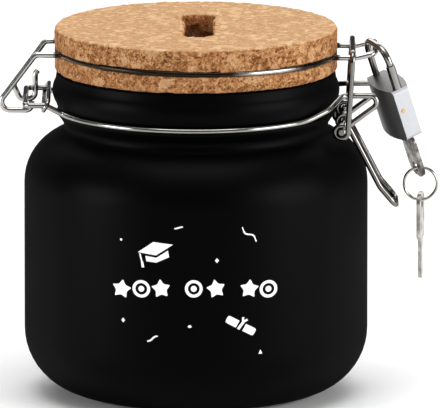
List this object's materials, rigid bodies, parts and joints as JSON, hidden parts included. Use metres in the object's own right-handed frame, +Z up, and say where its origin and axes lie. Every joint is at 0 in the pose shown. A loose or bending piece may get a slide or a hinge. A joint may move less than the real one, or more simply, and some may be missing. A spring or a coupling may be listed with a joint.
{
  "type": "money box",
  "caption": "Round black glass money jar with a slotted cork lid on a bent-wire closure, held shut by a small padlock with a key ring.",
  "frame": {"origin": "centre of the jar's flat base", "axes": "+Z up along the jar's axis, +X towards the latch, +Y to the back of the pictured side"},
  "size_m": [0.147, 0.115, 0.1236],
  "materials": {
    "black_glass": "satin",
    "cork": "matte",
    "wire": "polished",
    "case_steel": "brushed",
    "bright_steel": "polished",
    "spring_steel": "satin",
    "brass": "satin",
    "key_nickel": "satin"
  },
  "bodies": {
    "jar_body": {"jar": "black_glass", "neck_wire": "wire", "hinge_link": "wire"},
    "lid": {"cork_lid": "cork", "lid_wire": "wire"},
    "lever": {"latch_lever": "wire"},
    "bail": {"latch_bail": "wire"},
    "padlock": {"padlock_case": "case_steel", "shackle_sleeve": "bright_steel", "retaining_pin": "brass", "shackle_spring": "spring_steel", "driver_pins": "brass", "pin_springs": "spring_steel", "chamber_plugs": "case_steel"},
    "shackle_body": {"shackle": "bright_steel"},
    "key_body": {"cylinder_plug": "brass", "key_pins": "brass", "lock_key": "key_nickel"},
    "bolt_body": {"lock_bolt": "brass"},
    "ring_body": {"split_ring": "bright_steel"},
    "spare_body": {"spare_key": "key_nickel"}
  },
  "joints": [
    {"name": "lid_hinge", "type": "hinge", "parent": "jar_body", "child": "lid", "pos_m": [-0.057, 0, 0.0995], "axis": [0, -1, 0], "range_deg": [0, 105]},
    {"name": "lever_hinge", "type": "hinge", "parent": "jar_body", "child": "lever", "pos_m": [0.0496, 0, 0.0934], "axis": [0, -1, 0], "range_deg": [0, 100]},
    {"name": "bail_hinge", "type": "hinge", "parent": "lever", "child": "bail", "pos_m": [0.04864, 0, 0.09045], "axis": [0, -1, 0], "range_deg": [-95, 0]},
    {"name": "lock_swing", "type": "hinge", "parent": "lid", "child": "padlock", "pos_m": [0.05996, -0.00275, 0.11542], "axis": [-0.0683, -0.9791, 0.1915], "range_deg": [0, 131]},
    {"name": "shackle_slide", "type": "slide", "parent": "padlock", "child": "shackle_body", "axis": [-0.2797, -0.2493, 0.9271], "range_m": [0, 0.006]},
    {"name": "key_turn", "type": "hinge", "parent": "padlock", "child": "key_body", "pos_m": [0.07036, -0.00149, 0.08776], "axis": [-0.2797, -0.2493, 0.9271], "range_deg": [-90, 0]},
    {"name": "bolt_slide", "type": "slide", "parent": "padlock", "child": "bolt_body", "axis": [0.4294, -0.8962, -0.1115], "range_m": [-0.00121, 0]},
    {"name": "ring_swing", "type": "hinge", "parent": "key_body", "child": "ring_body", "pos_m": [0.07519, 0.00175, 0.07521], "axis": [0, 1, 0], "range_deg": [-15, 20]},
    {"name": "spare_swing", "type": "hinge", "parent": "ring_body", "child": "spare_body", "pos_m": [0.07519, 0.00175, 0.06411], "axis": [1, 0, 0], "range_deg": [-30, 30]}
  ],
  "couplings": [
    {"joint": "bail_hinge", "follows": "lever_hinge", "ratio": -0.94},
    {"joint": "lock_swing", "follows": "lever_hinge", "ratio": 1.307},
    {"joint": "bolt_slide", "follows": "key_turn", "m_per_rad": 0.00076394}
  ]
}
